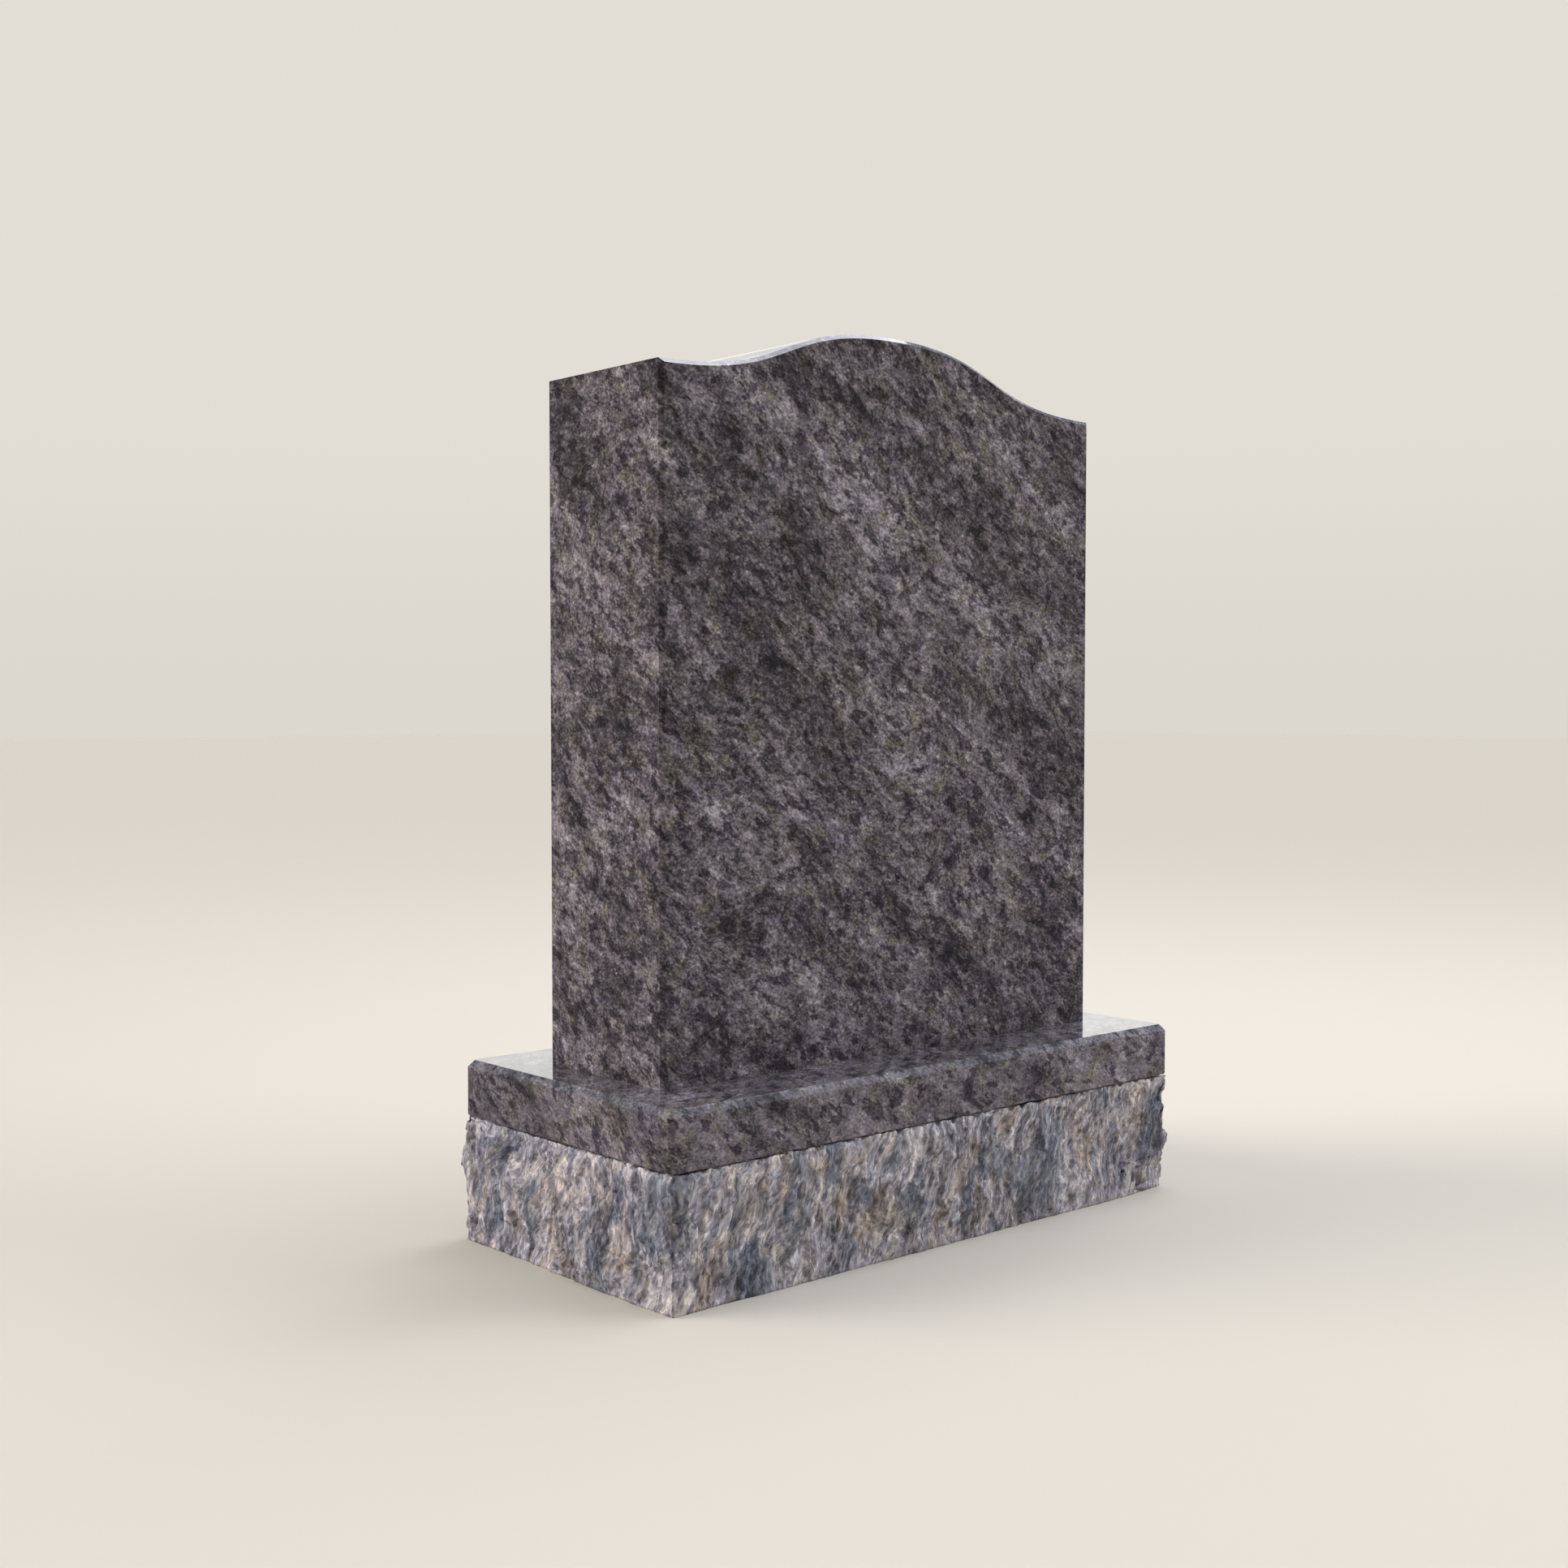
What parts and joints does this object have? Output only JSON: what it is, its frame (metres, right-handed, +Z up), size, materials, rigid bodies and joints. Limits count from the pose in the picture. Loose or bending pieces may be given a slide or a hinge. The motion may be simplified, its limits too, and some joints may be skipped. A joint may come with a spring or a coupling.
{
  "type": "headstone",
  "caption": "Upright headstone: a polished wave-topped granite tablet standing on a chamfered polished base slab over a rock-pitched lower course.",
  "frame": {"origin": "middle of the underside of the rock-pitched base, on the ground", "axes": "+Z up, +X to the right along the front, +Y from the front face towards the back"},
  "size_m": [0.7102, 0.3482, 0.9021],
  "materials": {
    "polished_granite": "polished dark mauve-grey granite with diagonal charcoal bands",
    "rock_pitched_granite": "rough broken granite, grey with blue-grey and buff streaks"
  },
  "bodies": {
    "root": {"tablet": "polished_granite", "polished_base": "polished_granite", "rock_pitched_base": "rock_pitched_granite"}
  },
  "joints": []
}
